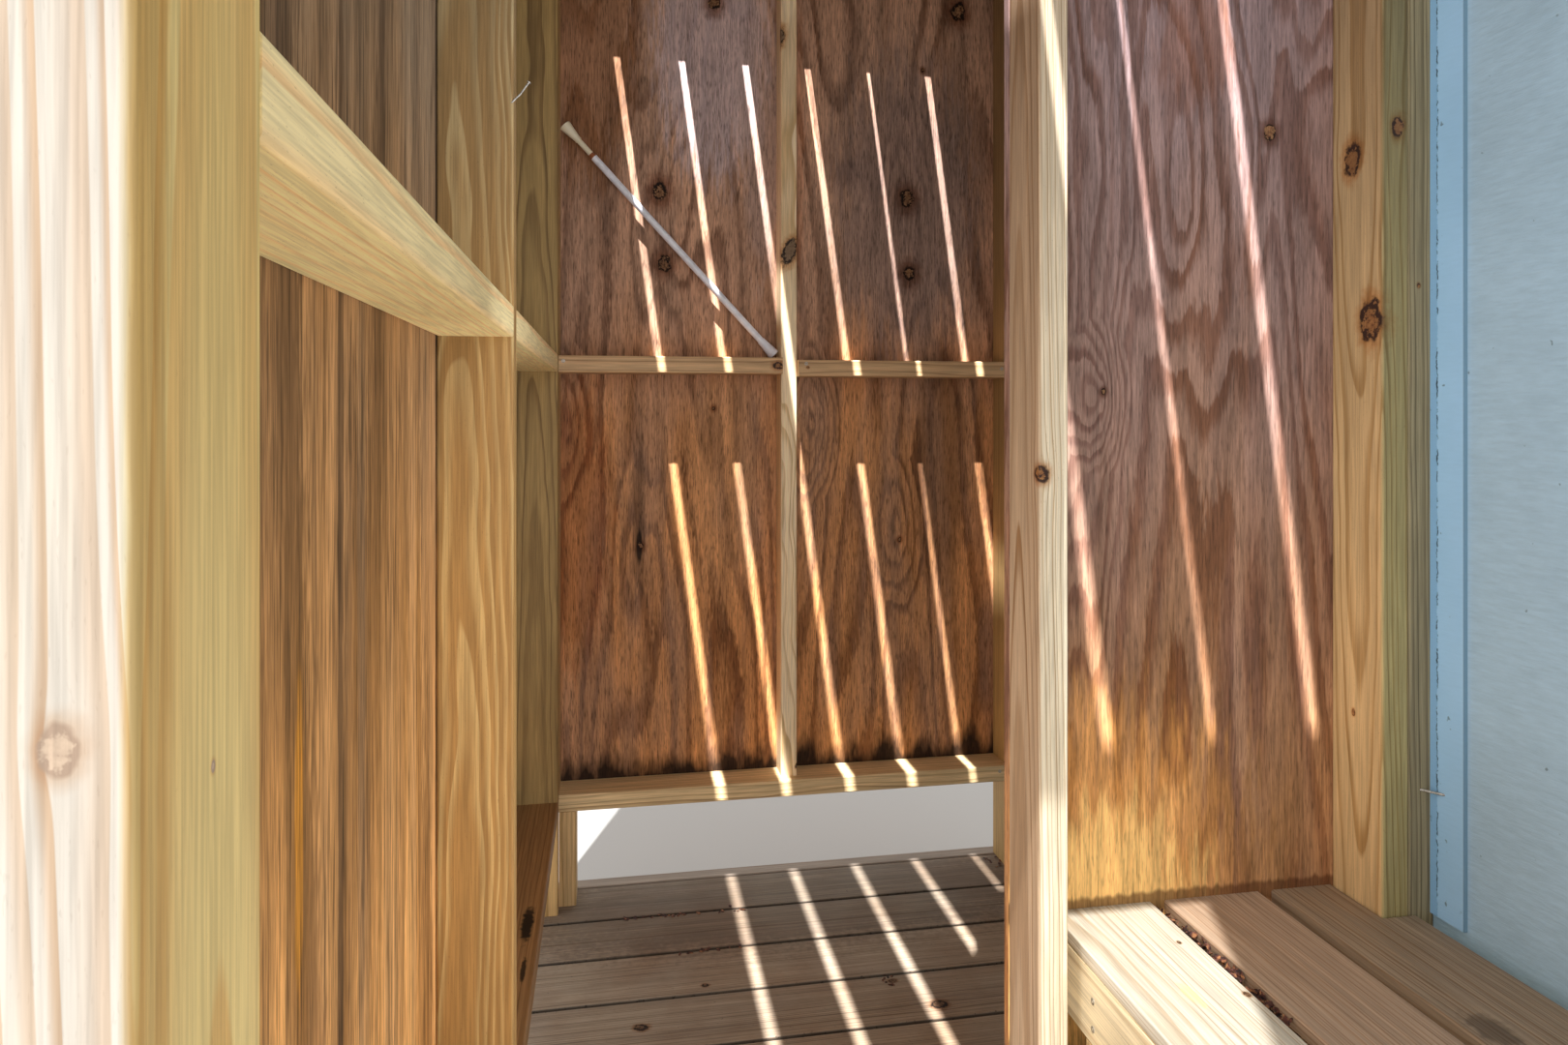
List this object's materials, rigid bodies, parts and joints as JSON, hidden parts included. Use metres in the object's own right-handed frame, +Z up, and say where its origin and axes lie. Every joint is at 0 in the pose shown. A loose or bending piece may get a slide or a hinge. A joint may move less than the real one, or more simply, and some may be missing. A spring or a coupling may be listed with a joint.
{
  "type": "stud-framed outdoor wash and changing cabin",
  "caption": "Open-fronted timber wash and changing cabin with plywood-clad stud walls raised on short legs, a board deck, partition, bench and slatted cover.",
  "frame": {"origin": "middle of the cabin in plan, on the ground", "axes": "+X from the left wall to the party wall, +Y from the open front to the back wall, +Z up"},
  "size_m": [1.403, 2.059, 2.329],
  "materials": {
    "weathered_decking": "weathered, unfinished",
    "new_pine": "planed, unfinished",
    "painted_siding": "flat exterior paint over rough-sawn panel",
    "white_enamel": "gloss enamel on steel tube",
    "plywood": "unfinished rough face veneer",
    "roof_boards": "planed, unfinished",
    "framing_pine": "planed, pressure treated",
    "zinc_steel": "dull zinc plate on nails and screws, which the visual model adds"
  },
  "bodies": {
    "root": {"deck_boards": "weathered_decking", "deck_rim_front": "weathered_decking", "deck_rim_back": "weathered_decking", "deck_rim_left": "weathered_decking", "deck_rim_right": "weathered_decking", "deck_sleepers": "weathered_decking", "left_entrance_post": "framing_pine", "right_entrance_post": "framing_pine", "left_legs": "framing_pine", "left_bottom_plate": "framing_pine", "left_corner_stud": "framing_pine", "left_middle_stud": "framing_pine", "left_blocking": "framing_pine", "left_top_plate": "framing_pine", "left_sheathing_front": "plywood", "left_sheathing_back": "plywood", "back_leg": "framing_pine", "back_sill": "framing_pine", "back_corner_stud": "framing_pine", "back_centre_stud": "framing_pine", "back_end_stud": "framing_pine", "back_wall_stud": "framing_pine", "back_blocking": "framing_pine", "back_top_plate": "framing_pine", "back_sheathing": "plywood", "back_filler_strip": "plywood", "partition_end_stud": "framing_pine", "partition_inner_stud": "framing_pine", "partition_wall_stud": "framing_pine", "partition_bottom_plate": "framing_pine", "partition_top_plate": "framing_pine", "partition_sheathing": "plywood", "bench_boards": "new_pine", "bench_rails": "framing_pine", "bench_bearers": "framing_pine", "bench_legs": "framing_pine", "roof_slats": "roof_boards", "roof_front_rafter": "framing_pine", "party_siding": "painted_siding", "party_trim": "painted_siding", "party_studs": "framing_pine", "party_bottom_plate": "framing_pine", "party_top_plate": "framing_pine", "party_sheathing": "plywood", "curtain_rod": "white_enamel"}
  },
  "joints": []
}
